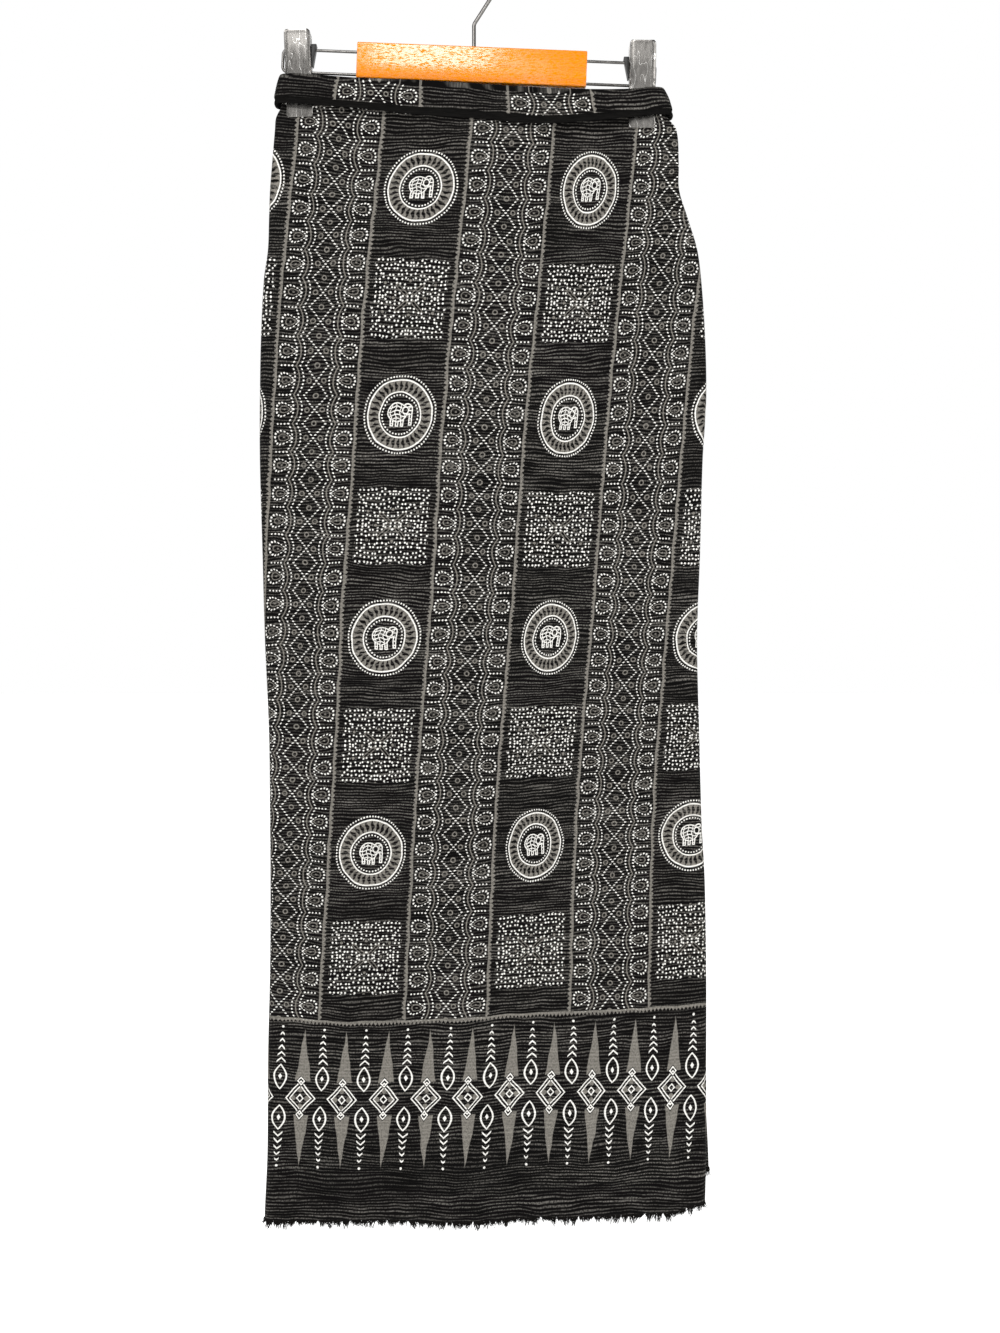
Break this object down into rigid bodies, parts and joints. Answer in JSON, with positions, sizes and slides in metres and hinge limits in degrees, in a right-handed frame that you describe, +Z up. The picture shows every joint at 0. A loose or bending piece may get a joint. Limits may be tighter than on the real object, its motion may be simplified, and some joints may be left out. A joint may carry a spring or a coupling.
{
  "type": "wrap maxi skirt on a clip hanger",
  "caption": "Long straight wrap skirt in black ribbed cotton with a grey and white border print, tied at the waist and clipped to a wooden hanger.",
  "frame": {"origin": "top of the inside of the hanger's hook, where a rail bears on it", "axes": "+Z up, -Y out of the front of the skirt, +X to the right as seen from the front"},
  "size_m": [0.392, 0.053, 1.1197],
  "materials": {
    "cloth": "black ribbed cotton with a grey and white print",
    "fray": "frayed black cotton",
    "wood": "glossy orange varnish",
    "steel": "scratched nickel plate",
    "black": "black moulded"
  },
  "bodies": {
    "root": {"panel_front": "cloth", "panel_flap": "cloth", "panel_under": "cloth", "fray_front": "fray", "fray_flap": "fray", "fray_under": "fray", "waist_tie": "cloth", "tie_knot": "cloth", "tie_tail_long": "cloth", "tie_tail_short": "cloth", "hanger_block": "wood", "hanger_hook": "steel", "hanger_rod_left": "steel", "hanger_rod_right": "steel", "clip_left_front": "steel", "clip_left_back": "steel", "clip_left_cam": "black", "clip_right_front": "steel", "clip_right_back": "steel", "clip_right_cam": "black"}
  },
  "joints": []
}
